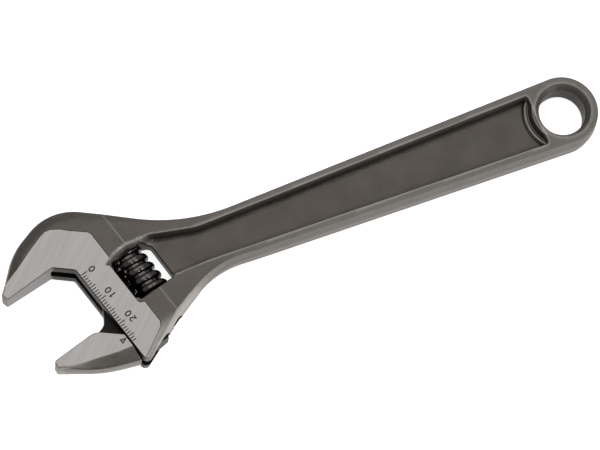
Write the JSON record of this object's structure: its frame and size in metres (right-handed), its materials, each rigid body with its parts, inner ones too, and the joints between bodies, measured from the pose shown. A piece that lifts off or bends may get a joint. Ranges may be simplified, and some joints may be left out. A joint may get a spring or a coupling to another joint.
{
  "type": "adjustable wrench",
  "caption": "Forged adjustable wrench whose lower jaw slides on a toothed rail when its knurled worm is turned.",
  "frame": {"origin": "under the middle of the tool's box, on the plane of the head's back face, with the jaws 25 mm open", "axes": "+X along the handle from the jaws to the hanging hole, +Y towards the fixed jaw's side, +Z out of the face with the scale"},
  "size_m": [0.2066, 0.0563, 0.014],
  "materials": {
    "phosphated_steel": "manganese phosphate over a forged and blasted surface, dark grey, satin",
    "ground_steel": "fine ground and belted, then phosphated and polished to a light satin grey",
    "blackened_steel": "black oxide with oil, glossy",
    "pin_steel": "turned",
    "spring_steel": "drawn wire"
  },
  "bodies": {
    "frame": {"body": "phosphated_steel", "worm_pin": "pin_steel", "worm_spring": "spring_steel"},
    "jaw": {"movable_jaw": "ground_steel"},
    "worm": {"adjusting_worm": "blackened_steel"}
  },
  "joints": [
    {"name": "jaw_slide", "type": "slide", "parent": "frame", "child": "jaw", "axis": [0.2756, -0.9613, 0], "range_m": [-0.02495, 0.002]},
    {"name": "worm_spin", "type": "hinge", "parent": "frame", "child": "worm", "pos_m": [-0.05891, 0.00008, 0.007], "axis": [0.2756, -0.9613, 0], "range_deg": [-2568, 207]}
  ],
  "couplings": [
    {"joint": "worm_spin", "follows": "jaw_slide", "rad_per_m": 1795.2}
  ]
}
